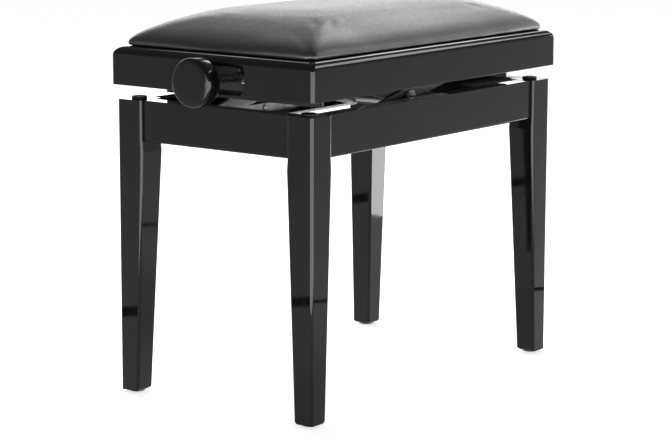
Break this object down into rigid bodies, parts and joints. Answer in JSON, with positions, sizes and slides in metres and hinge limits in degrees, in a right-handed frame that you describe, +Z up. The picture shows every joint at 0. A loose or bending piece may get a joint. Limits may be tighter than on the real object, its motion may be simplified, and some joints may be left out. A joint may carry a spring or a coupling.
{
  "type": "piano bench",
  "caption": "Adjustable piano bench: padded seat on a wooden frame, raised level by a knob-turned scissor lift in a base with tapered legs.",
  "frame": {"origin": "on the floor, under the middle of the whole outline, with the knob counted", "axes": "+Z up, +X along the seat's long side away from the knob, -Y towards the front long side"},
  "size_m": [0.588, 0.328, 0.5045],
  "materials": {
    "lacquered_wood": "black polyester lacquer, high gloss",
    "raw_wood": "planed beech and birch plywood, unfinished",
    "bright_steel": "zinc-plated steel",
    "black_steel": "black powder coat, satin",
    "oiled_steel": "dark oiled steel",
    "brass": "turned brass",
    "nylon": "moulded nylon",
    "felted_rubber": "matte rubber bumper",
    "glide_plastic": "matte black plastic glide",
    "knob_lacquer": "gloss black",
    "leatherette": "black leatherette with fine grain, satin",
    "foam": "polyurethane foam"
  },
  "bodies": {
    "base": {"leg_front_left": "lacquered_wood", "leg_front_right": "lacquered_wood", "leg_back_left": "lacquered_wood", "leg_back_right": "lacquered_wood", "apron_front": "lacquered_wood", "apron_back": "lacquered_wood", "apron_left": "lacquered_wood", "apron_right": "lacquered_wood", "apron_dowels": "raw_wood", "corner_blocks": "raw_wood", "leg_bolts": "bright_steel", "leg_bolt_washers": "bright_steel", "leg_bolt_nuts": "bright_steel", "foot_glides": "glide_plastic", "leg_bumpers": "felted_rubber", "lower_rail_front": "black_steel", "lower_rail_back": "black_steel", "lower_tie_left": "black_steel", "lower_tie_right": "black_steel", "lower_rail_screws": "bright_steel", "lower_pivot_rod": "bright_steel", "assist_springs": "bright_steel"},
    "rising_arms": {"arm_a_front": "black_steel", "arm_a_back": "black_steel", "centre_bolts": "bright_steel", "centre_nuts": "bright_steel", "pivot_washers": "bright_steel"},
    "falling_arms": {"arm_b_front": "black_steel", "arm_b_back": "black_steel", "lower_slide_rod": "bright_steel", "lower_slide_bushes": "nylon"},
    "nut": {"nut_block": "brass", "upper_slide_rods": "bright_steel", "upper_slide_bushes": "nylon"},
    "seat": {"upper_pivot_rods": "bright_steel", "bearing_block": "bright_steel", "upper_rail_front": "black_steel", "upper_rail_back": "black_steel", "upper_tie_left": "black_steel", "upper_tie_right": "black_steel", "upper_rail_screws": "bright_steel", "seat_rail_front": "lacquered_wood", "seat_rail_back": "lacquered_wood", "seat_rail_left": "lacquered_wood", "seat_rail_right": "lacquered_wood", "seat_corner_blocks": "raw_wood", "seat_board": "raw_wood", "board_screws": "bright_steel", "seat_foam": "foam", "seat_cover": "leatherette"},
    "screw": {"lead_screw": "oiled_steel", "screw_collars": "black_steel", "thrust_washers": "bright_steel", "knob": "knob_lacquer", "knob_insert": "brass", "knob_set_screw": "black_steel"}
  },
  "joints": [
    {"name": "scissor_lift", "type": "hinge", "parent": "base", "child": "rising_arms", "pos_m": [-0.14714, 0, 0.352], "axis": [0, -1, 0], "range_deg": [-2.57, 13.39], "deforming": ["assist_springs"]},
    {"name": "centre_pivot", "type": "hinge", "parent": "rising_arms", "child": "falling_arms", "pos_m": [0.019, 0, 0.388], "axis": [0, -1, 0], "range_deg": [-26.8, 5.2]},
    {"name": "upper_pivot", "type": "hinge", "parent": "falling_arms", "child": "seat", "pos_m": [-0.14714, 0, 0.424], "axis": [0, -1, 0], "range_deg": [-2.6, 13.4]},
    {"name": "nut_pivot", "type": "hinge", "parent": "rising_arms", "child": "nut", "pos_m": [0.18515, 0, 0.424], "axis": [0, -1, 0], "range_deg": [-13.4, 2.6]},
    {"name": "knob_turn", "type": "hinge", "parent": "seat", "child": "screw", "pos_m": [-0.256, 0, 0.424], "axis": [-1, 0, 0], "range_deg": [-560, 2900]}
  ],
  "couplings": [
    {"joint": "centre_pivot", "follows": "scissor_lift", "ratio": -2},
    {"joint": "upper_pivot", "follows": "scissor_lift", "ratio": 1},
    {"joint": "nut_pivot", "follows": "scissor_lift", "ratio": -1},
    {"joint": "knob_turn", "follows": "scissor_lift", "ratio": 215}
  ]
}
